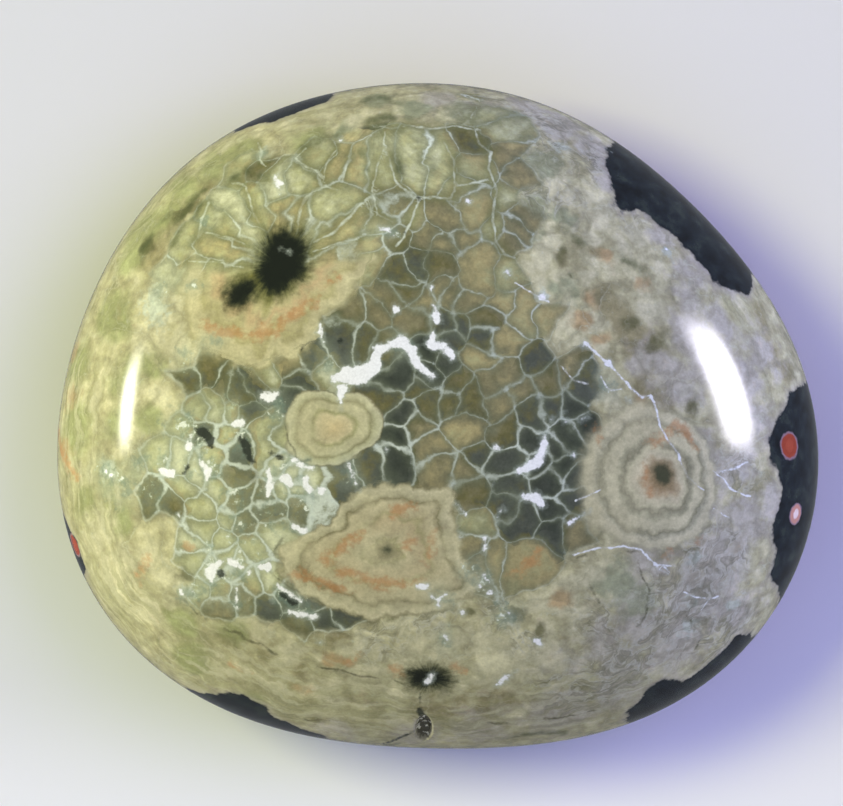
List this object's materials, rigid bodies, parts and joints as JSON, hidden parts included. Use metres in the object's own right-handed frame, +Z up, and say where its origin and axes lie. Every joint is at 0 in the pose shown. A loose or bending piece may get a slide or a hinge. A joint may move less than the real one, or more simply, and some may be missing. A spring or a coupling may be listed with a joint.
{
  "type": "ocean jasper palm stone",
  "caption": "Polished egg-outlined palm stone of orbicular jasper with a domed face, lying on a small ground flat.",
  "frame": {"origin": "on the table under the middle of the stone's bounding box, at the height of the resting flat", "axes": "+X along the stone, +Y across it, +Z up through the crown, which carries the best face"},
  "size_m": [0.0658, 0.0576, 0.0306],
  "materials": {
    "jasper": "polished to a glassy shine"
  },
  "bodies": {
    "root": {"palm_stone": "jasper"}
  },
  "joints": []
}
